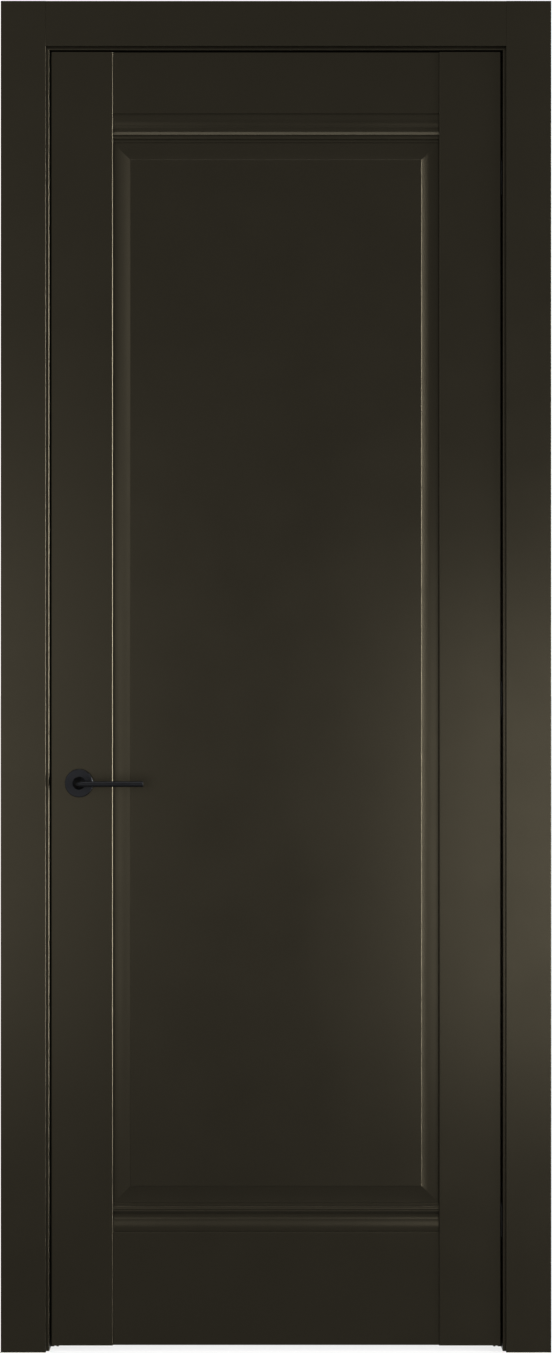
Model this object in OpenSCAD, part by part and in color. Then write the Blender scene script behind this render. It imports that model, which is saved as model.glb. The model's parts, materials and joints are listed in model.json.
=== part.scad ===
// Interior door set: a stile-and-rail leaf with one raised panel, in a rebated frame with architraves.
// X runs across the doorway, Y from the front face to the back, Z up from the floor.
// The leaf's mid-plane is at Y = 0, and the hinges are on the +X side.

/* [Leaf] */
// Width of the leaf
leaf_w = 800; // [600:10:900]
// Height of the leaf
leaf_h = 2300; // [1900:10:2400]
// Thickness of the leaf at its stiles
leaf_t = 40; // [38:1:48]
// Width of each stile
stile_w = 110; // [100:1:130]
// Flat height of the top rail, above its moulding
top_rail_h = 109; // [80:1:150]
// Flat height of the bottom rail, below its moulding
bottom_rail_h = 201; // [180:1:260]
// How far the stiles stand proud of the rails, on each face
rail_step = 5; // [3:0.5:6]
// Gap between the leaf and the floor
floor_gap = 10; // [5:1:15]
// Radius of the edges of the stiles and jambs
arris_r = 2; // [1:0.25:2.5]

/* [Panel] */
// Thickness of the panel's tongue
tongue_t = 10; // [8:0.5:11]
// How far the tongue enters its groove
tongue_d = 10; // [6:1:12]
// Thickness of the panel at the foot of its cove
panel_edge_t = 14; // [12:0.5:14]
// Flat margin between the moulding or stile and the cove
panel_margin = 2; // [1:0.5:10]
// Width of the cove that raises the field
cove_w = 28.5; // [15:0.5:40]
// How far the cove raises the field, on each face
cove_rise = 5; // [3:0.5:6]
// Height and radius of the rounded step from the cove to the field
field_step = 1.2; // [0.8:0.1:1.5]

/* [Moulding] */
// Width of the fillet beside the panel
fillet_w = 4.5; // [3:0.5:8]
// Depth of that fillet below the rail's face
fillet_drop = 6.1; // [5.5:0.1:6.5]
// Width of the rounded shoulder beside the fillet
shoulder_w = 7.3; // [4:0.1:9]
// Depth of the shoulder's top below the rail's face
shoulder_drop = 3; // [2.5:0.1:4]
// Width of the small bead on top of the shoulder
bead_w = 2.2; // [2:0.1:4]
// Depth of the bead's outer edge below the rail's face
bead_drop = 1.6; // [1:0.1:2]
// Width of the sloping flank outside the bead
flank_w = 5; // [3:0.5:8]
// Depth of the flank's foot below the rail's face
hollow_drop = 5.2; // [4.8:0.1:6]
// Width of the hollow beside the flank
hollow_w = 10.5; // [8:0.5:14]
// Depth of the torus's foot below the rail's face
torus_drop = 4.2; // [3.5:0.1:4.6]
// Width of the large torus beside the rail
torus_w = 20; // [16:0.5:28]
// Width of the quirk between the torus and the rail
quirk_w = 1; // [0.5:0.25:3]
// Depth of the quirk below the rail's face
quirk_drop = 2.5; // [2:0.1:3.5]

/* [Frame] */
// Gap between the leaf and the frame at the sides and the top
side_gap = 3; // [2:0.5:4]
// Thickness of the jamb at its rebate
jamb_t = 38; // [36:1:50]
// Depth of the jamb through the wall
jamb_d = 75; // [72:1:110]
// Room for the seal between the leaf's back and the stop
seal_room = 2; // [1.5:0.5:3]
// Width of the stop that the leaf closes against
stop_w = 14; // [13:1:20]
// Distance from the rebate to the seal's kerf
kerf_in = 6; // [4:0.5:6]
// Width of the seal's kerf
kerf_w = 4; // [3:0.5:4.5]
// Depth of the seal's kerf
kerf_d = 6; // [5:0.5:8]
// Distance from each end of a jamb to its outer wall fixing
fixing_end = 130; // [100:10:160]
// Spacing of the two inner wall fixings of a jamb
fixing_inner = 900; // [800:10:1000]
// Diameter of a wall fixing's hole
fixing_hole_d = 6.5; // [5:0.5:8]

/* [Architraves] */
// Width of an architrave
architrave_w = 80; // [60:1:100]
// Thickness of an architrave
architrave_t = 12; // [9:0.5:16]
// Radius of an architrave's edges
architrave_r = 0.8; // [0.5:0.1:3]
// Strip of the frame left showing beside an architrave
reveal = 5.5; // [4:0.25:8]
// Thickness of the tongue that holds an architrave
clip_t = 5; // [4:0.5:6]
// How far that tongue enters the frame
clip_d = 10; // [6:1:12]

/* [Hinges] */
// Distance from the middle of an end hinge to the leaf's end
hinge_end = 220; // [160:10:250]
// Height of a hinge's cup
cup_h = 90; // [84:1:110]
// Thickness of a cup's wall around the link
cup_wall = 1.8; // [1.2:0.1:2]
// Length of a hinge's face plate
plate_h = 142; // [136:1:160]
// Thickness of a hinge's face plate
plate_t = 3; // [2:0.5:4]
// Outer radius of the curved link
link_r = 28; // [26:0.25:29]
// Thickness of the curved link
link_t = 6; // [4:0.25:6]
// Height of the curved link
link_h = 60; // [40:1:70]
// Widest opening of the leaf, in degrees
swing = 110; // [90:1:112]

/* [Latch and lever] */
// Distance from the leaf's edge to the spindle
backset = 50; // [45:1:55]
// Height of the spindle above the floor
handle_z = 1010; // [950:10:1060]
// Diameter of the rose
rose_d = 50; // [50:0.5:56]
// Thickness of the rose
rose_t = 8; // [8:0.5:12]
// Diameter of the lever's collar
collar_d = 22; // [20:0.5:23]
// Distance from the leaf's face to the end of the collar's straight part
collar_l = 15; // [14:0.5:18]
// Distance from the leaf's face to the end of the collar's taper
taper_l = 34; // [28:1:38]
// Diameter of the lever's bar
bar_d = 10; // [9:0.5:12]
// Distance from the leaf's face to the middle of the grip
grip_out = 55; // [46:1:60]
// Length of the grip from the spindle's axis
grip_l = 116; // [100:1:140]
// Radius of the lever's bend, at the middle of the bar
bend_r = 8; // [7:0.5:12]
// Width of the square spindle
spindle_w = 8; // [7:0.5:8]
// Spacing of the bolts that clamp the roses
rose_bolt_pitch = 38; // [38:0.5:40]
// Height of the latch bolt's middle above the spindle
bolt_rise = 35; // [33:1:40]
// Travel of the latch bolt
bolt_travel = 9; // [6:0.5:10]

/* [Hidden] */
$fn = 48;

// Colours
paint = [0.20, 0.18, 0.145];
black = [0.16, 0.165, 0.175];
steel = [0.55, 0.55, 0.56];
rubber = [0.08, 0.08, 0.08];
beech = [0.76, 0.62, 0.44];

// Clearances
fit = 0.1;          // glued, screwed or seated pieces
running = 0.3;      // pieces that move past each other
journal = 0.08;     // the follower in its case
eps = 0.5;          // how far a cut runs past the face it opens

// Leaf
edge_x = leaf_w / 2;
leaf_z0 = floor_gap;
leaf_z1 = floor_gap + leaf_h;
stile_y = leaf_t / 2;
rail_y = stile_y - rail_step;
rail_l = leaf_w - 2 * stile_w;
stile_in_x = rail_l / 2;
groove_d = tongue_d + 1;
groove_y = tongue_t / 2 + fit;
round_steps = 6;
rail_arris_r = 1.5;

// Moulding: distances from the panel's edge, member by member
fillet_r = 0.8;
shoulder_rise = 1.4;
bead_rise = 1.0;
hollow_sag = -1.1;
step_h = 1;
torus_rise = 1.6;
mould_1 = fillet_w;
mould_2 = mould_1 + shoulder_w;
mould_3 = mould_2 + bead_w;
mould_4 = mould_3 + flank_w;
mould_5 = mould_4 + hollow_w;
mould_6 = mould_5 + torus_w;
mould_w = mould_6 + quirk_w;
bow_steps = 8;

// Panel
panel_z0 = leaf_z0 + bottom_rail_h + mould_w;
panel_z1 = leaf_z1 - top_rail_h - mould_w;
cove_r = (cove_w * cove_w + cove_rise * cove_rise) / (2 * cove_rise);
cove_angle = 2 * atan(cove_rise / cove_w);
cove_steps = 10;

// Frame
open_x = edge_x + side_gap;
open_z = leaf_z1 + side_gap;
front_y = -stile_y;
back_y = front_y + jamb_d;
stop_y = stile_y + seal_room;
clip_wall = 3.5;
clip_d0 = jamb_t - clip_wall - clip_t;
clip_in = clip_d0 - reveal;
back_clip_d0 = clip_d0 - stop_w;
frame_h = open_z + reveal + architrave_w;
kerf_mid = kerf_in + kerf_w / 2;
seal_lip_w = 7;
seal_foot = 12;
fixing_mid = leaf_h / 2;

// Hinges
hinge_x = edge_x + side_gap / 2;
hinge_y = front_y;
hinge_zs = [leaf_z0 + hinge_end, (leaf_z0 + leaf_z1) / 2, leaf_z1 - hinge_end];
link_hold_angle = 11;
link_half_angle = swing / 2 + link_hold_angle;
pocket_angle = link_half_angle + 3;
pocket_r0 = link_r - link_t - running;
pocket_r1 = link_r + running;
cup_x0 = side_gap / 2;
cup_in = pocket_r0 * cos(pocket_angle) - cup_wall;
cup_w = pocket_r1 + cup_wall - cup_in;
cup_d = pocket_r1 * sin(pocket_angle) + cup_wall - cup_x0;
cup_mid_y = cup_in + cup_w / 2;
link_window_h = 16;
link_web_angle = 14;

// Screws
screw_d = 4;
screw_head_d = 8;
screw_head_h = 2.4;
screw_l = 28;
hinge_screw_z = (plate_h - cup_w) / 2;

// Latch
spindle_x = -(edge_x - backset);
bolt_z = handle_z + bolt_rise;
bolt_t = 10;
bolt_h = 18;
bolt_l = 30;
faceplate_t = 3;
faceplate_w = 20;
faceplate_h = 160;
case_t = 15;
case_wall = 1.5;
case_back = 27;
case_below = 32;
case_above = 62;
case_x0 = -edge_x + faceplate_t;
case_x1 = spindle_x + case_back;
case_z0 = handle_z - case_below;
case_z1 = handle_z + case_above;
case_mid_z = (case_z0 + case_z1) / 2;
case_cover_y = -case_t / 2 + case_wall;
faceplate_screw_z = (faceplate_h - faceplate_w) / 2;
follower_d = 22;
journal_d = 16;
arm_w = 5;
arm_l = 20;

// Strike
strike_t = 2.5;
strike_w = 20;
strike_h = 92;
strike_screw_z = (strike_h - strike_w) / 2;
strike_play = 1.2;
box_wall = 1.5;
magnet_t = 3;
box_d = bolt_travel - side_gap - strike_t + magnet_t + box_wall + 4;

// Lever and roses
rose_wall = 1.5;
rose_round = 1.5;
base_t = 6;
collar_gap = 0.5;
collar_play = 0.5;
socket_d = 16;
rose_bolt_d = 4;
rose_bolt_head_d = 7;
rose_bolt_head_h = 2.4;
grub_d = 4;
grub_l = 6;
grub_y = 12;
bolt_hole_d = 8;
spindle_hole_d = 20;
end_round = 0.8;

// Dowels
dowel_d = 8;
dowel_l = 70;
top_dowel_zs = [0.3, 0.75];
bottom_dowel_zs = [0.2, 0.5, 0.8];

// Points along a circle, from angle a0 to a1
function arc(x, y, r, a0, a1, steps) =
  [for (i = [0:steps]) let (a = a0 + (a1 - a0) * i / steps) [x + r * cos(a), y + r * sin(a)]];

// A rounded corner of a profile, turning a quarter from angle a0
function corner(x, y, r, a0) = arc(x, y, r, a0, a0 + 90, round_steps);

// A circular bow from p to q that rises to the left of that line
function bow(p, q, rise, steps) =
  let (
    chord = norm(q - p),
    along = (q - p) / chord,
    left = [-along[1], along[0]],
    side = sign(rise),
    r = (chord * chord / 4 + rise * rise) / (2 * abs(rise)),
    half = asin(chord / (2 * r)),
    middle = (p + q) / 2 + left * (rise - side * r)
  )
  [for (i = [0:steps]) let (a = half * (2 * i / steps - 1))
    middle + left * (side * r * cos(a)) + along * (r * sin(a))];

function flip_y(points) = [for (i = [len(points) - 1:-1:0]) [points[i][0], -points[i][1]]];

// The moulding: distance from the panel's edge, and depth below the rail's face as a negative height
function mould_points() = concat(
  arc(fillet_r, -fillet_drop - fillet_r, fillet_r, 180, 90, round_steps),
  bow([mould_1, -fillet_drop], [mould_2, -shoulder_drop], shoulder_rise, bow_steps),
  bow([mould_2 + fit, -shoulder_drop], [mould_3, -bead_drop], bead_rise, bow_steps),
  bow([mould_4, -hollow_drop], [mould_5, -torus_drop - step_h], hollow_sag, bow_steps),
  bow([mould_5 + fit, -torus_drop], [mould_6, -quirk_drop], torus_rise, 2 * bow_steps),
  [[mould_w, -quirk_drop]],
  arc(mould_w + rail_arris_r, -rail_arris_r, rail_arris_r, 180, 90, round_steps)
);

// One face of a rail, as distance from the panel's edge against Y, on the +Y side
function rail_face(flat_h) = concat(
  [[groove_d, groove_y], [0, groove_y]],
  [for (p = mould_points()) [p[0], rail_y + p[1]]],
  [[mould_w + flat_h, rail_y]]
);

function rail_outline(flat_h) = concat(rail_face(flat_h), flip_y(rail_face(flat_h)));

// A stile in plan: distance from its inner edge against Y
stile_outline = concat(
  [[groove_d, -groove_y], [0, -groove_y]],
  corner(arris_r, arris_r - stile_y, arris_r, 180),
  corner(stile_w - arris_r, arris_r - stile_y, arris_r, 270),
  corner(stile_w - arris_r, stile_y - arris_r, arris_r, 0),
  corner(arris_r, stile_y - arris_r, arris_r, 90),
  [[0, groove_y], [groove_d, groove_y]]
);

// Half of the panel's section: distance from the visible edge against Y, on one face
// The cove is an arc that leaves the margin flat, and a rounded step ends it at the field
function cove_points() =
  let (foot_y = panel_edge_t / 2)
  concat(
    arc(panel_margin, foot_y + cove_r, cove_r, 270, 270 + cove_angle, cove_steps),
    arc(panel_margin + cove_w + field_step, foot_y + cove_rise, field_step, 180, 90, round_steps)
  );

function panel_outline(length) =
  let (
    near = concat([[-tongue_d, tongue_t / 2], [fit, tongue_t / 2], [fit, panel_edge_t / 2]], cove_points()),
    far = [for (i = [len(near) - 1:-1:0]) [length - near[i][0], near[i][1]]],
    face = concat(near, far)
  )
  concat(face, flip_y(face));

// The frame in section: distance outwards from the rebate against Y
frame_outline = concat(
  corner(arris_r, front_y + arris_r, arris_r, 180),
  [
    [clip_d0 - fit, front_y], [clip_d0 - fit, front_y + clip_d + eps],
    [clip_d0 + clip_t + fit, front_y + clip_d + eps], [clip_d0 + clip_t + fit, front_y],
    [jamb_t, front_y], [jamb_t, back_y],
    [back_clip_d0 + clip_t + fit, back_y], [back_clip_d0 + clip_t + fit, back_y - clip_d - eps],
    [back_clip_d0 - fit, back_y - clip_d - eps], [back_clip_d0 - fit, back_y]
  ],
  corner(arris_r - stop_w, back_y - arris_r, arris_r, 90),
  [
    [-stop_w, stop_y],
    [-kerf_in - kerf_w, stop_y], [-kerf_in - kerf_w, stop_y + kerf_d],
    [-kerf_in, stop_y + kerf_d], [-kerf_in, stop_y],
    [0, stop_y]
  ]
);

// An architrave in section, from its inner edge, standing on Y = 0 towards -Y
architrave_outline = concat(
  [[0, 0]],
  corner(architrave_r, architrave_r - architrave_t, architrave_r, 180),
  corner(architrave_w - architrave_r, architrave_r - architrave_t, architrave_r, 270),
  [[architrave_w, 0]]
);

// Lays a profile drawn as (Z, Y) along X
module along_x(length) {
  rotate([0, -90, 0]) linear_extrude(length, center = true) children();
}

// Lays a shape drawn as (Y, Z) out along X
module out_x(length) {
  rotate([90, 0, 90]) linear_extrude(length) children();
}

// Lays a shape drawn as (X, Z) out along Y
module out_y(length) {
  translate([0, length, 0]) rotate([90, 0, 0]) linear_extrude(length) children();
}

module mirrored(side) {
  if (side > 0) children();
  else mirror([1, 0, 0]) children();
}

// A plate with round ends, in the plane of its children
module round_ended(width, height) {
  square([width, height - width], center = true);
  for (end = [-1, 1]) translate([0, end * (height - width) / 2]) circle(d = width);
}

// A countersunk screw whose head is flush at the origin, driven along +X
module screw(grow = 0) {
  rotate([0, 90, 0]) {
    cylinder(d1 = screw_head_d + 2 * grow, d2 = screw_d + 2 * grow, h = screw_head_h);
    cylinder(d = screw_d + 2 * grow, h = screw_l + grow);
  }
}

// The jambs' and head's common mitre: everything above the diagonal at one side
module above_mitre(side) {
  reach = 2 * (jamb_t + stop_w);
  mirrored(side) translate([open_x, 0, open_z]) rotate([0, -45, 0])
    translate([-reach, front_y - eps, 0]) cube([2 * reach, jamb_d + 2 * eps, reach]);
}

module below_mitre(side) {
  reach = 2 * (jamb_t + stop_w);
  mirrored(side) translate([open_x, 0, open_z]) rotate([0, 135, 0])
    translate([-reach, front_y - eps, 0]) cube([2 * reach, jamb_d + 2 * eps, reach]);
}

fixing_zs = [
  fixing_end, fixing_mid - fixing_inner / 2, fixing_mid + fixing_inner / 2, open_z - fixing_end
];

module wall_fixing_holes() {
  for (z = fixing_zs) translate([-eps, 0, z]) rotate([0, 90, 0])
    cylinder(d = fixing_hole_d, h = jamb_t + 2 * eps);
}

module jamb(side) {
  color(paint) difference() {
    mirrored(side) translate([open_x, 0, 0]) difference() {
      linear_extrude(open_z + jamb_t) polygon(frame_outline);
      wall_fixing_holes();
    }
    above_mitre(side);
    if (side > 0) hinge_mortises(1);
    else strike_mortise();
  }
}

module jamb_head() {
  color(paint) difference() {
    translate([0, 0, open_z]) along_x(2 * (open_x + jamb_t)) polygon(frame_outline);
    for (side = [-1, 1]) below_mitre(side);
  }
}

// A seal in section: a stem in the kerf and a soft lip towards the leaf
module seal_stem() {
  translate([-kerf_in - kerf_w + fit, stop_y - eps]) square([kerf_w - 2 * fit, kerf_d]);
}

module seal_lip() {
  lip = seal_room - 2 * fit - running;
  intersection() {
    translate([-kerf_mid, stop_y]) circle(d = seal_lip_w);
    translate([-kerf_mid - seal_lip_w / 2, stop_y - lip - fit]) square([seal_lip_w, lip]);
  }
}

module seal(side) {
  color(rubber) mirrored(side) translate([open_x, 0, seal_foot])
    linear_extrude(open_z - kerf_mid - seal_lip_w / 2 - seal_foot) {
      seal_stem();
      seal_lip();
    }
}

module seal_head() {
  color(rubber) translate([0, 0, open_z]) {
    along_x(2 * (open_x - kerf_in - fit)) seal_stem();
    along_x(2 * (open_x - kerf_mid) + seal_lip_w) seal_lip();
  }
}

// An architrave's clip tongue, in the same section as its outline
module clip_section() {
  translate([clip_in, 0]) square([clip_t, clip_d]);
}

module architrave_upright(inner, top) {
  translate([inner, 0, 0]) {
    linear_extrude(top) polygon(architrave_outline);
    linear_extrude(open_z) clip_section();
  }
}

module architrave_across(inner_x, inner_z) {
  translate([0, 0, inner_z]) {
    along_x(2 * inner_x) polygon(architrave_outline);
    along_x(2 * open_x) clip_section();
  }
}

module architrave_front(side) {
  color(paint) mirrored(side) translate([0, front_y, 0])
    architrave_upright(open_x + reveal, frame_h);
}

module architrave_front_head() {
  color(paint) translate([0, front_y, 0]) architrave_across(open_x + reveal, open_z + reveal);
}

module architrave_back(side) {
  color(paint) mirrored(side) translate([0, back_y, 0]) mirror([0, 1, 0])
    architrave_upright(open_x + reveal - stop_w, frame_h - stop_w);
}

module architrave_back_head() {
  color(paint) translate([0, back_y, 0]) mirror([0, 1, 0])
    architrave_across(open_x + reveal - stop_w, open_z + reveal - stop_w);
}

// Hinge pieces are drawn about the hinge's axis, with +X into the jamb or, mirrored, into the leaf
module at_hinge(side, z) {
  translate([hinge_x, hinge_y, z]) mirrored(side) children();
}

module sector(half_from, half_to, reach) {
  polygon(concat([[0, 0]],
    [for (i = [0:4]) let (a = half_from + (half_to - half_from) * i / 4) reach * [sin(a), cos(a)]]));
}

module link_ring(grow) {
  difference() {
    circle(r = link_r + grow, $fn = 96);
    circle(r = link_r - link_t - grow, $fn = 96);
  }
}

module hinge_cup_blank(grow) {
  translate([cup_x0 - grow, cup_in - grow, -cup_h / 2 - grow])
    cube([cup_d + 2 * grow, cup_w + 2 * grow, cup_h + 2 * grow]);
  translate([cup_x0 - grow, cup_mid_y, 0]) out_x(plate_t + 2 * grow)
    round_ended(cup_w + 2 * grow, plate_h + 2 * grow);
}

module hinge_screws_about(grow) {
  for (end = [-1, 1]) translate([cup_x0, cup_mid_y, end * hinge_screw_z]) screw(grow);
}

module hinge_cup(side, z) {
  color(steel) at_hinge(side, z) difference() {
    hinge_cup_blank(0);
    linear_extrude(link_h + 2 * running, center = true) intersection() {
      link_ring(running);
      sector(-10, pocket_angle, 2 * link_r);
    }
    hinge_screws_about(fit);
  }
}

module hinge_mortises(side) {
  for (z = hinge_zs) at_hinge(side, z) {
    hinge_cup_blank(fit);
    hinge_screws_about(fit);
  }
}

module hinge_screws(side) {
  color(steel) for (z = hinge_zs) at_hinge(side, z) hinge_screws_about(0);
}

module hinge_link(z) {
  color(steel) at_hinge(1, z) difference() {
    linear_extrude(link_h, center = true) intersection() {
      link_ring(0);
      sector(-link_half_angle, link_half_angle, 3 * link_r);
    }
    for (turn = [-1, 1]) linear_extrude(link_window_h, center = true)
      sector(turn * link_web_angle, turn * (link_half_angle + 10), 2 * link_r);
  }
}

module stile(side) {
  color(paint) difference() {
    mirrored(side) translate([stile_in_x, 0, leaf_z0]) linear_extrude(leaf_h) polygon(stile_outline);
    dowel_set(fit);
    if (side > 0) hinge_mortises(-1);
    else latch_mortise();
  }
}

module rail_blank(flat_h) {
  stub_z = groove_d + eps;
  along_x(rail_l) polygon(rail_outline(flat_h));
  translate([-rail_l / 2 - tongue_d, -tongue_t / 2, stub_z])
    cube([rail_l + 2 * tongue_d, tongue_t, mould_w + flat_h - stub_z]);
}

module rail_top() {
  color(paint) difference() {
    translate([0, 0, panel_z1]) rail_blank(top_rail_h);
    dowel_set(fit);
  }
}

module rail_bottom() {
  color(paint) difference() {
    translate([0, 0, panel_z0]) mirror([0, 0, 1]) rail_blank(bottom_rail_h);
    dowel_set(fit);
  }
}

module panel() {
  high = panel_z1 - panel_z0;
  color(paint) translate([0, 0, panel_z0]) intersection() {
    translate([-rail_l / 2, 0, -tongue_d]) linear_extrude(high + 2 * tongue_d)
      polygon(panel_outline(rail_l));
    along_x(rail_l + 2 * tongue_d) polygon(panel_outline(high));
  }
}

dowel_zs = concat(
  [for (share = top_dowel_zs) leaf_z1 - top_rail_h * share],
  [for (share = bottom_dowel_zs) leaf_z0 + bottom_rail_h * share]
);

module dowel_set(grow) {
  for (side = [-1, 1]) for (z = dowel_zs)
    translate([side * stile_in_x - dowel_l / 2 - grow, 0, z]) rotate([0, 90, 0])
      cylinder(d = dowel_d + 2 * grow, h = dowel_l + 2 * grow);
}

module dowels() {
  color(beech) dowel_set(0);
}

// Latch: the case and its cover are drawn about the leaf's mid-plane
module rose_bolt_holes(hole_d, y0, y1) {
  for (turn = [-1, 1]) translate([spindle_x + turn * rose_bolt_pitch / 2, y0, handle_z])
    rotate([-90, 0, 0]) cylinder(d = hole_d, h = y1 - y0);
}

module spindle_bore(hole_d, y0, y1) {
  translate([spindle_x, y0, handle_z]) rotate([-90, 0, 0]) cylinder(d = hole_d, h = y1 - y0);
}

module bolt_block(x0, length, grow) {
  translate([x0, -bolt_t / 2 - grow, bolt_z - bolt_h / 2 - grow])
    cube([length, bolt_t + 2 * grow, bolt_h + 2 * grow]);
}

module case_block(y0, y1, inset) {
  translate([case_x0 + inset, y0, case_z0 + inset])
    cube([case_x1 - case_x0 - 2 * inset, y1 - y0, case_z1 - case_z0 - 2 * inset]);
}

module case_cuts() {
  spindle_bore(journal_d + 2 * journal, -case_t, case_t);
  rose_bolt_holes(bolt_hole_d, -case_t, case_t);
}

module latch_case() {
  color(steel) difference() {
    case_block(case_cover_y, case_t / 2, 0);
    case_block(case_cover_y - eps, case_t / 2 - case_wall, case_wall);
    case_cuts();
    bolt_block(case_x0 - eps, case_wall + 2 * eps, running);
  }
}

module latch_case_cover() {
  color(steel) difference() {
    case_block(-case_t / 2, case_cover_y, 0);
    case_cuts();
  }
}

module faceplate_screws_about(grow) {
  for (end = [-1, 1]) translate([-edge_x, 0, case_mid_z + end * faceplate_screw_z]) screw(grow);
}

module latch_faceplate() {
  color(black) difference() {
    translate([-edge_x, 0, case_mid_z]) out_x(faceplate_t) round_ended(faceplate_w, faceplate_h);
    bolt_block(-edge_x - eps, faceplate_t + 2 * eps, running);
    faceplate_screws_about(fit);
  }
}

module latch_screws() {
  color(black) faceplate_screws_about(0);
}

module latch_mortise() {
  translate([case_x0 - eps, -case_t / 2 - fit, case_z0 - fit])
    cube([case_x1 - case_x0 + eps + fit, case_t + 2 * fit, case_z1 - case_z0 + 2 * fit]);
  translate([-edge_x - eps, 0, case_mid_z]) out_x(faceplate_t + eps)
    round_ended(faceplate_w + 2 * fit, faceplate_h + 2 * fit);
  faceplate_screws_about(fit);
  spindle_bore(spindle_hole_d, -leaf_t, leaf_t);
  rose_bolt_holes(bolt_hole_d, -leaf_t, leaf_t);
}

module spindle_square(y0, y1, width) {
  translate([spindle_x - width / 2, y0, handle_z - width / 2]) cube([width, y1 - y0, width]);
}

module latch_follower() {
  inside = case_t - 2 * case_wall - 2 * running;
  color(steel) difference() {
    union() {
      spindle_bore(journal_d, -case_t / 2, case_t / 2);
      spindle_bore(follower_d, -inside / 2, inside / 2);
      translate([spindle_x - arm_w / 2, -inside / 4, handle_z]) cube([arm_w, inside / 2, arm_l]);
    }
    spindle_square(-case_t, case_t, spindle_w + 2 * fit);
  }
}

module latch_bolt() {
  tail_l = 16;
  tail_t = 4;
  color(black) {
    bolt_block(-edge_x, bolt_l, 0);
    translate([-edge_x + bolt_l, -tail_t / 2, bolt_z - bolt_h / 4]) cube([tail_l, tail_t, bolt_h / 2]);
  }
}

// Strike, in the lock jamb's rebate
module strike_screws_about(grow) {
  for (end = [-1, 1]) translate([-open_x, 0, bolt_z + end * strike_screw_z])
    mirror([1, 0, 0]) screw(grow);
}

module strike_hole(x0, x1, grow) {
  translate([x0, -bolt_t / 2 - grow, bolt_z - bolt_h / 2 - grow])
    cube([x1 - x0, bolt_t + 2 * grow, bolt_h + 2 * grow]);
}

strike_back_x = -open_x - strike_t;
box_back_x = strike_back_x - box_d;

module strike_plate() {
  color(black) difference() {
    translate([strike_back_x, 0, bolt_z]) out_x(strike_t) round_ended(strike_w, strike_h);
    strike_hole(strike_back_x - eps, -open_x + eps, strike_play);
    strike_screws_about(fit);
  }
}

module strike_box() {
  color(rubber) difference() {
    strike_hole(box_back_x, strike_back_x, strike_play + box_wall);
    strike_hole(box_back_x + box_wall, strike_back_x + eps, strike_play);
  }
}

module strike_magnet() {
  color(steel) strike_hole(box_back_x + box_wall, box_back_x + box_wall + magnet_t, strike_play - fit);
}

module strike_screws() {
  color(black) strike_screws_about(0);
}

module strike_mortise() {
  strike_hole(box_back_x - fit, strike_back_x + eps, strike_play + box_wall + fit);
  translate([strike_back_x - fit, 0, bolt_z]) out_x(strike_t + fit + eps)
    round_ended(strike_w + 2 * fit, strike_h + 2 * fit);
  strike_screws_about(fit);
}

// Lever furniture is drawn for the front face and mirrored in Y for the back one
module at_face(face) {
  if (face < 0) children();
  else mirror([0, 1, 0]) children();
}

// A round piece about the spindle, from its (radius, distance from the leaf's face) section
module about_spindle() {
  translate([spindle_x, -stile_y, handle_z]) rotate([90, 0, 0]) rotate_extrude($fn = 96) children();
}

module rose(face) {
  inner_r = rose_d / 2 - rose_wall;
  hole_r = collar_d / 2 + collar_play;
  color(black) at_face(face) about_spindle() polygon(concat(
    [[inner_r, 0], [rose_d / 2, 0]],
    arc(rose_d / 2 - rose_round, rose_t - rose_round, rose_round, 0, 90, round_steps),
    [[hole_r, rose_t], [hole_r, rose_t - rose_wall], [inner_r, rose_t - rose_wall]]
  ));
}

module rose_base(face) {
  color(steel) at_face(face) difference() {
    about_spindle() polygon([
      [collar_d / 2 + collar_play, 0], [rose_d / 2 - rose_wall - fit, 0],
      [rose_d / 2 - rose_wall - fit, base_t], [collar_d / 2 + collar_play, base_t]
    ]);
    rose_bolt_holes(rose_bolt_d + 2 * fit, -stile_y - 2 * base_t, -stile_y + eps);
    if (face < 0)
      rose_bolt_holes(rose_bolt_head_d + 2 * fit,
        -stile_y - base_t - eps, -stile_y - base_t + rose_bolt_head_h + fit);
  }
}

module rose_bolts() {
  head_y = -stile_y - base_t;
  color(steel) {
    rose_bolt_holes(rose_bolt_head_d, head_y, head_y + rose_bolt_head_h);
    rose_bolt_holes(rose_bolt_d, head_y, stile_y + base_t);
  }
}

module grub_about(grow) {
  translate([spindle_x, -stile_y - grub_y, handle_z - collar_d / 2 - grow])
    cylinder(d = grub_d + 2 * grow, h = grub_l + 2 * grow);
}

module lever(face) {
  bend_y = -stile_y - grip_out;
  color(black) at_face(face) difference() {
    union() {
      about_spindle() polygon([
        [0, collar_gap], [collar_d / 2, collar_gap], [collar_d / 2, collar_l],
        [bar_d / 2, taper_l], [0, taper_l]
      ]);
      spindle_bore(bar_d, bend_y + bend_r, -stile_y - taper_l);
      translate([spindle_x + bend_r, bend_y + bend_r, handle_z]) rotate([0, 0, 180])
        rotate_extrude(angle = 90) translate([bend_r, 0]) circle(d = bar_d);
      translate([spindle_x + bend_r, bend_y, handle_z]) rotate([0, 90, 0])
        rotate_extrude() polygon(concat(
          [[0, 0], [bar_d / 2, 0]],
          arc(bar_d / 2 - end_round, grip_l - bend_r - end_round, end_round, 0, 90, round_steps),
          [[0, grip_l - bend_r]]
        ));
    }
    spindle_square(-stile_y - socket_d, -stile_y + eps, spindle_w + 2 * fit);
    grub_about(fit);
  }
}

module spindle() {
  end_y = stile_y + socket_d - eps;
  color(steel) spindle_square(-end_y, end_y, spindle_w);
}

module grub_screws() {
  color(black) for (face = [-1, 1]) at_face(face) grub_about(0);
}

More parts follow.
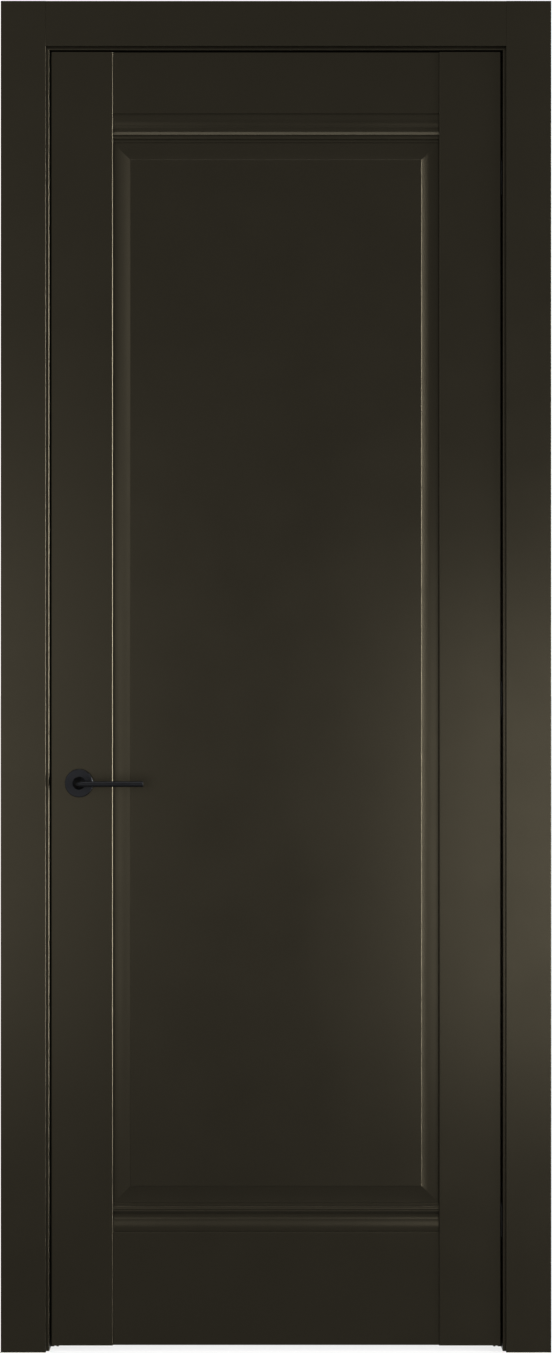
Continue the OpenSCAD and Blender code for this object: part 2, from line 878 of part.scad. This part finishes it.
jamb(1);  // jamb_hinge_side
jamb(-1);  // jamb_lock_side
jamb_head();
seal(1);  // seal_hinge_side
seal(-1);  // seal_lock_side
seal_head();
architrave_front(-1);  // architrave_front_left
architrave_front(1);  // architrave_front_right
architrave_front_head();
architrave_back(-1);  // architrave_back_left
architrave_back(1);  // architrave_back_right
architrave_back_head();
hinge_cup(1, hinge_zs[0]);  // hinge_frame_cup_1
hinge_cup(1, hinge_zs[1]);  // hinge_frame_cup_2
hinge_cup(1, hinge_zs[2]);  // hinge_frame_cup_3
hinge_screws(1);  // hinge_frame_screws
strike_plate();
strike_box();
strike_magnet();
strike_screws();
stile(-1);  // stile_lock_side
stile(1);  // stile_hinge_side
rail_top();
rail_bottom();
panel();
dowels();
hinge_cup(-1, hinge_zs[0]);  // hinge_leaf_cup_1
hinge_cup(-1, hinge_zs[1]);  // hinge_leaf_cup_2
hinge_cup(-1, hinge_zs[2]);  // hinge_leaf_cup_3
hinge_screws(-1);  // hinge_leaf_screws
latch_case();
latch_case_cover();
latch_faceplate();
latch_screws();
rose(-1);  // rose_front
rose(1);  // rose_back
rose_base(-1);  // rose_base_front
rose_base(1);  // rose_base_back
rose_bolts();
hinge_link(hinge_zs[0]);  // hinge_link_1
hinge_link(hinge_zs[1]);  // hinge_link_2
hinge_link(hinge_zs[2]);  // hinge_link_3
lever(-1);  // lever_front
lever(1);  // lever_back
spindle();
latch_follower();
grub_screws();
latch_bolt();
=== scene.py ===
import json
import math

import bmesh
import bpy
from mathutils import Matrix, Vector


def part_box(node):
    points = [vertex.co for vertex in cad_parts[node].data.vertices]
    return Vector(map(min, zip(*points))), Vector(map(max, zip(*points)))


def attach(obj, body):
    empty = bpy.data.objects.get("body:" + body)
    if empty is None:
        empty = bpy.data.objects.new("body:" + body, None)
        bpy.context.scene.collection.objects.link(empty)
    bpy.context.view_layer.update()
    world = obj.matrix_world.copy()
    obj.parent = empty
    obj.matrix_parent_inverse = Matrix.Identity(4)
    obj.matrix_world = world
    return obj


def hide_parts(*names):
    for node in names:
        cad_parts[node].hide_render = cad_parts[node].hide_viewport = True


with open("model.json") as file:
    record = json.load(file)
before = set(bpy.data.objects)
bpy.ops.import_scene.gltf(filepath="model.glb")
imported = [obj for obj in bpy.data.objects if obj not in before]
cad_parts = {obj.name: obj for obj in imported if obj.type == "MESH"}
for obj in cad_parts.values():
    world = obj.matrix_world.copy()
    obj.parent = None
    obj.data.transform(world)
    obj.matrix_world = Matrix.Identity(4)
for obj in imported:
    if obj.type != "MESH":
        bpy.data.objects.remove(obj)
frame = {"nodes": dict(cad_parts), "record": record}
nodes = frame["nodes"]
slots = {s["node"]: s["material_slot"] for s in frame["record"]["subparts"]}
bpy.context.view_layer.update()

# Materials

# Most values of a noise lie between these two
NOISE_LOW = 0.3
NOISE_HIGH = 0.7


def material(name, **values):
    """A new material with constant values set on its shader; returns it with its tree and shader."""
    look = bpy.data.materials.new(name)
    look.use_nodes = True
    shader = look.node_tree.nodes["Principled BSDF"]
    for socket, value in values.items():
        shader.inputs[socket.replace("_", " ")].default_value = value
    return look, look.node_tree, shader


def noise(tree, scale, detail=2.0, stretch=None):
    """Noise in the part's own metres, optionally stretched along an axis."""
    coords = tree.nodes.new("ShaderNodeTexCoord")
    out = coords.outputs["Object"]
    if stretch:
        mapping = tree.nodes.new("ShaderNodeMapping")
        mapping.inputs["Scale"].default_value = stretch
        tree.links.new(out, mapping.inputs["Vector"])
        out = mapping.outputs["Vector"]
    texture = tree.nodes.new("ShaderNodeTexNoise")
    texture.inputs["Scale"].default_value = scale
    texture.inputs["Detail"].default_value = detail
    tree.links.new(out, texture.inputs["Vector"])
    return texture.outputs["Fac"]


def ramp(tree, fac, low, high):
    """A colour that runs from low to high over a noise's usual values."""
    node = tree.nodes.new("ShaderNodeValToRGB")
    first, last = node.color_ramp.elements
    first.position = NOISE_LOW
    first.color = (*low, 1)
    last.position = NOISE_HIGH
    last.color = (*high, 1)
    tree.links.new(fac, node.inputs["Fac"])
    return node.outputs["Color"]


def mottle(tree, fac, colour, share):
    """A colour that gets darker and lighter than the given one by a share of it."""
    dark = [c * (1 - share) for c in colour]
    light = [c * (1 + share) for c in colour]
    return ramp(tree, fac, dark, light)


def between(tree, fac, low, high, fac_low=NOISE_LOW, fac_high=NOISE_HIGH):
    """A value that runs from low to high as fac does from fac_low to fac_high."""
    node = tree.nodes.new("ShaderNodeMapRange")
    node.inputs["From Min"].default_value = fac_low
    node.inputs["From Max"].default_value = fac_high
    node.inputs["To Min"].default_value = low
    node.inputs["To Max"].default_value = high
    tree.links.new(fac, node.inputs["Value"])
    return node.outputs["Result"]


def dress(tree, shader, colour, roughness, height, strength, distance):
    """Links a colour, a roughness and a bump that follows height to a shader."""
    bump = tree.nodes.new("ShaderNodeBump")
    bump.inputs["Strength"].default_value = strength
    bump.inputs["Distance"].default_value = distance
    tree.links.new(height, bump.inputs["Height"])
    tree.links.new(colour, shader.inputs["Base Color"])
    tree.links.new(roughness, shader.inputs["Roughness"])
    tree.links.new(bump.outputs["Normal"], shader.inputs["Normal"])


def bronze_paint():
    """Dark bronze paint, half matt, with a fine fleck and the slight waviness of a sprayed coat."""
    look, tree, shader = material("bronze_paint", Metallic=1.0)
    fleck = noise(tree, scale=1400.0, detail=1.0)
    colour = mottle(tree, fleck, (0.0193, 0.0169, 0.0117), share=0.12)
    roughness = between(tree, noise(tree, scale=9.0, detail=3.0), low=0.29, high=0.33)
    dress(tree, shader, colour, roughness, noise(tree, scale=420.0), strength=0.03, distance=0.0004)
    return look


def coated(name, colour, roughness, metallic, grain):
    """A fine-grained coat, rubber or plastic, whose roughness varies a little."""
    look, tree, shader = material(name, Metallic=metallic)
    tint = mottle(tree, noise(tree, grain), colour, share=0.15)
    rough = between(tree, noise(tree, scale=60.0), low=roughness - 0.04, high=roughness + 0.04)
    dress(tree, shader, tint, rough, noise(tree, grain), strength=0.08, distance=0.0002)
    return look


def plated():
    """Plated steel with faint upright drawing lines."""
    look, tree, shader = material("bright_steel", Metallic=1.0)
    drawn = noise(tree, scale=700.0, detail=3.0, stretch=(1, 1, 0.05))
    tint = ramp(tree, drawn, low=(0.25, 0.25, 0.26), high=(0.36, 0.36, 0.36))
    roughness = between(tree, drawn, low=0.28, high=0.42)
    dress(tree, shader, tint, roughness, drawn, strength=0.05, distance=0.0001)
    return look


def beech():
    """Bare beech whose grain runs along X, as the dowels do."""
    look, tree, shader = material("beech")
    grain = noise(tree, scale=240.0, detail=6.0, stretch=(0.06, 1, 1))
    tint = ramp(tree, grain, low=(0.40, 0.24, 0.11), high=(0.56, 0.37, 0.20))
    roughness = between(tree, grain, low=0.55, high=0.7)
    dress(tree, shader, tint, roughness, grain, strength=0.2, distance=0.0003)
    return look


looks = {
    "bronze_paint": bronze_paint(),
    "black_metal": coated("black_metal", (0.0098, 0.0101, 0.0112), roughness=0.34, metallic=1.0, grain=900.0),
    "bright_steel": plated(),
    "hinge_alloy": coated("hinge_alloy", (0.030, 0.030, 0.031), roughness=0.5, metallic=0.4, grain=500.0),
    "seal_rubber": coated("seal_rubber", (0.012, 0.011, 0.010), roughness=0.7, metallic=0.0, grain=300.0),
    "beech": beech(),
    "black_plastic": coated("black_plastic", (0.018, 0.018, 0.018), roughness=0.6, metallic=0.0, grain=400.0),
}
for name, obj in nodes.items():
    obj.data.materials.clear()
    obj.data.materials.append(looks[slots[name]])

# Screws with driven recesses and threads, which stand for the plain CAD ones

# Each ring of a screw is a depth below the head's face and one radius per angle, all in millimetres
MM_PER_M = 1000
RING_POINTS = 48
ANGLES = [math.radians(360 / RING_POINTS * k) for k in range(RING_POINTS)]
# Half the width of a cross recess's arm, as a share of its reach
ARM_SHARE = math.tan(math.radians(15))
# The turn that one side of a hexagon takes up
HEXAGON_SIDE = math.pi / 3
# The share of the pitch that each flank of a thread takes up
FLANK_SHARE = 0.3
# Edges that are sharper than this stay sharp
SHARP_ANGLE = math.radians(30)
# Heights that lie further apart than this, in metres, belong to two screws
SCREW_GAP = 0.01
# Half the thickness of a CAD grub screw, in metres
GRUB_RADIUS = 0.002
NEARLY_ZERO = 1e-6


def circle(radius):
    """The radii of a round ring."""
    return [radius] * RING_POINTS


def cross(reach):
    """The radii of a cross recess whose arms reach that far from the middle."""
    half = reach * ARM_SHARE
    radii = []
    for a in ANGLES:
        short, long = sorted((abs(math.cos(a)), abs(math.sin(a))))
        radii.append(min(reach / long, half / max(short, NEARLY_ZERO)))
    return radii


def hexagon(across):
    """The radii of a hexagon that measures that much across its flats."""
    half_side = HEXAGON_SIDE / 2
    return [across / 2 / math.cos((a + half_side) % HEXAGON_SIDE - half_side) for a in ANGLES]


def thread(start, step, count, pitch, core, crest):
    """The rings of a helical thread, a step apart from the start on, between a core and a crest radius."""
    rings = []
    for k in range(count):
        depth = start + step * k
        radii = []
        for a in ANGLES:
            phase = (depth / pitch - a / math.tau) % 1.0
            radii.append(core + (crest - core) * max(0.0, 1.0 - abs(phase - 0.5) / FLANK_SHARE))
        rings.append((depth, radii))
    return rings


def wood_screw():
    """The rings of a countersunk screw with a cross recess, from the recess's floor to the tip."""
    recess = [(1.8, cross(1.0)), (0.0, cross(2.2))]
    head = [(0.0, circle(3.82)), (0.1, circle(3.9)), (2.4, circle(2.0))]
    shank = [(2.8, circle(1.5)), (6.0, circle(1.5))]
    turns = thread(start=6.3, step=0.3, count=62, pitch=1.8, core=1.3, crest=1.95)
    tip = [(25.0, circle(1.2)), (27.9, circle(0.15))]
    return recess + head + shank + turns + tip


def grub_screw():
    """The rings of a set screw with a hexagon socket, from the socket's floor to the point."""
    socket = [(2.4, hexagon(1.5)), (2.0, hexagon(2.0)), (0.15, hexagon(2.0)), (0.0, hexagon(2.2))]
    rim = [(0.0, circle(1.6)), (0.3, circle(1.8))]
    turns = thread(start=0.4, step=0.1, count=50, pitch=0.7, core=1.65, crest=1.98)
    point = [(5.7, circle(1.6)), (5.98, circle(1.2))]
    return socket + rim + turns + point


def screws(node, body, rings, places, axis, side):
    """One piece that stands for a node of screws: rings along axis at each place, angles from side."""
    mesh = bmesh.new()
    axis = Vector(axis)
    side = Vector(side)
    up = axis.cross(side)
    for place in places:
        loops = []
        for depth, radii in rings:
            middle = place + axis * depth / MM_PER_M
            loops.append([
                mesh.verts.new(middle + (side * math.cos(a) + up * math.sin(a)) * r / MM_PER_M)
                for a, r in zip(ANGLES, radii)
            ])
        for near, far in zip(loops, loops[1:]):
            for k in range(RING_POINTS):
                mesh.faces.new((near[k - 1], near[k], far[k], far[k - 1]))
        mesh.faces.new(loops[0])
        mesh.faces.new(loops[-1])
    bmesh.ops.recalc_face_normals(mesh, faces=mesh.faces)
    data = bpy.data.meshes.new(node + "_driven")
    mesh.to_mesh(data)
    mesh.free()
    data.shade_smooth()
    data.set_sharp_from_angle(angle=SHARP_ANGLE)
    data.materials.append(looks[slots[node]])
    piece = bpy.data.objects.new(node + "_driven", data)
    bpy.context.scene.collection.objects.link(piece)
    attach(piece, body)
    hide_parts(node)


def heads(node, way):
    """The middle of each head of a node whose screws are driven along X, one above the other."""
    lo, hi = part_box(node)
    heights = sorted(v.co.z for v in nodes[node].data.vertices)
    runs = [[heights[0]]]
    for z in heights[1:]:
        if z - runs[-1][-1] > SCREW_GAP:
            runs.append([])
        runs[-1].append(z)
    x = lo[0] if way > 0 else hi[0]
    return [Vector((x, (lo[1] + hi[1]) / 2, (run[0] + run[-1]) / 2)) for run in runs]


def sockets(node):
    """The middle of each lower face of a node of two upright grub screws, one behind the other."""
    lo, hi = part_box(node)
    x = (lo[0] + hi[0]) / 2
    return [Vector((x, y, lo[2])) for y in (lo[1] + GRUB_RADIUS, hi[1] - GRUB_RADIUS)]


for node, body, way in (
    ("hinge_frame_screws", "frame", 1),
    ("hinge_leaf_screws", "leaf", -1),
    ("latch_screws", "leaf", 1),
    ("strike_screws", "frame", -1),
):
    screws(node, body, wood_screw(), heads(node, way), axis=(way, 0, 0), side=(0, 1, 0))
screws("grub_screws", "lever_set", grub_screw(), sockets("grub_screws"), axis=(0, 0, 1), side=(1, 0, 0))

# Stage

WHITE = (1, 1, 1, 1)
# The white surround's strength as a light on the part
WORLD_LIGHT = 0.45
# The side of the floor in metres, long enough for its edge to lie near the horizon
FLOOR_SIZE = 400


def seen(tree, by_camera, in_gloss):
    """One value for rays from the camera, one for rays off gloss or through glass, and 0 for the rest."""
    path = tree.nodes.new("ShaderNodeLightPath")
    either = tree.nodes.new("ShaderNodeMath")
    either.operation = "MAXIMUM"
    tree.links.new(path.outputs["Is Glossy Ray"], either.inputs[0])
    tree.links.new(path.outputs["Is Transmission Ray"], either.inputs[1])
    gloss = tree.nodes.new("ShaderNodeMath")
    gloss.operation = "MULTIPLY"
    gloss.inputs[1].default_value = in_gloss
    tree.links.new(either.outputs[0], gloss.inputs[0])
    total = tree.nodes.new("ShaderNodeMath")
    total.operation = "MULTIPLY_ADD"
    total.inputs[1].default_value = by_camera
    tree.links.new(path.outputs["Is Camera Ray"], total.inputs[0])
    tree.links.new(gloss.outputs[0], total.inputs[2])
    return total.outputs[0]


def make_world():
    """A surround that is white to the camera and in gloss, and lights the part less than that."""
    world = bpy.data.worlds.new("studio")
    bpy.context.scene.world = world
    world.use_nodes = True
    tree = world.node_tree
    background = tree.nodes["Background"]
    background.inputs["Color"].default_value = WHITE
    shown = seen(tree, by_camera=1.0, in_gloss=1.0)
    strength = between(tree, shown, low=WORLD_LIGHT, high=1.0, fac_low=0.0, fac_high=1.0)
    tree.links.new(strength, background.inputs["Strength"])


def make_floor():
    """A pale floor, mixed with plain white for the camera and in gloss, which keeps the part's shadow."""
    bpy.ops.mesh.primitive_plane_add(size=FLOOR_SIZE, location=(0, 0, 0))
    plane = bpy.context.active_object
    plane.name = "floor"
    look, tree, shader = material("floor_paint", Roughness=0.9, Specular_IOR_Level=0.1)
    tint = ramp(tree, noise(tree, scale=3.0), low=(0.70, 0.70, 0.70), high=(0.74, 0.74, 0.74))
    tree.links.new(tint, shader.inputs["Base Color"])
    glow = tree.nodes.new("ShaderNodeEmission")
    glow.inputs["Color"].default_value = WHITE
    pale = tree.nodes.new("ShaderNodeMixShader")
    tree.links.new(seen(tree, by_camera=0.8, in_gloss=0.5), pale.inputs["Fac"])
    tree.links.new(shader.outputs["BSDF"], pale.inputs[1])
    tree.links.new(glow.outputs["Emission"], pale.inputs[2])
    tree.links.new(pale.outputs["Shader"], tree.nodes["Material Output"].inputs["Surface"])
    plane.data.materials.append(look)
    return plane


def softbox(name, place, target, width, height, power, beam=180):
    """An area light that faces its target and doesn't show to the camera; beam is its angle in degrees."""
    data = bpy.data.lights.new(name, "AREA")
    data.shape = "RECTANGLE"
    data.size = width
    data.size_y = height
    data.energy = power
    data.spread = math.radians(beam)
    lamp = bpy.data.objects.new(name, data)
    bpy.context.scene.collection.objects.link(lamp)
    lamp.location = place
    lamp.rotation_euler = (Vector(target) - Vector(place)).to_track_quat("-Z", "Y").to_euler()
    lamp.visible_camera = False


make_world()
floor = make_floor()

softbox("side_right", (2.75, -1.05, 1.35), (-0.3, 0.0, 1.35), width=1.0, height=2.5, power=86, beam=54)
softbox("fill_right", (2.1, -2.0, 1.5), (0.3, 0.0, 1.5), width=0.9, height=2.3, power=12.4)
softbox("front_right", (0.85, -2.0, 0.82), (0.85, 0.0, 0.82), width=1.0, height=1.07, power=3.9, beam=90)
softbox("overhead", (0.0, -0.38, 4.2), (0.0, -0.2, 2.0), width=2.2, height=0.7, power=36)
softbox("front_left", (-0.9, -2.5, 0.94), (-0.9, 0.0, 0.94), width=0.8, height=1.4, power=8.8)
softbox("fill_left", (-1.6, -2.6, 1.65), (-1.6, 0.0, 1.65), width=1.5, height=2.7, power=11)
softbox("far_left", (-2.6, -2.4, 1.5), (-0.3, 0.0, 1.5), width=1.4, height=2.7, power=25)
softbox("back_left", (-2.6, 1.6, 1.4), (0.2, 0.0, 1.3), width=1.6, height=2.6, power=26)
softbox("back_right", (1.7, 2.6, 1.3), (1.2, 0.0, 1.3), width=1.4, height=2.4, power=14)

# Camera, square on to the door, whose sensor spans the height of the photograph's frame of 552 by 1353 pixels
SENSOR_MM = 36.0
PHOTO_HEIGHT = 1353
FOCAL_PIXELS = 3308
EYE = (0.0, -5.902, 1.1996)

camera_data = bpy.data.cameras.new("camera")
camera_data.sensor_width = SENSOR_MM
camera_data.lens = SENSOR_MM * FOCAL_PIXELS / PHOTO_HEIGHT
camera = bpy.data.objects.new("camera", camera_data)
bpy.context.scene.collection.objects.link(camera)
camera.location = EYE
camera.rotation_euler = (math.radians(90), 0, 0)
bpy.context.scene.camera = camera

bpy.context.scene.view_settings.view_transform = "Standard"
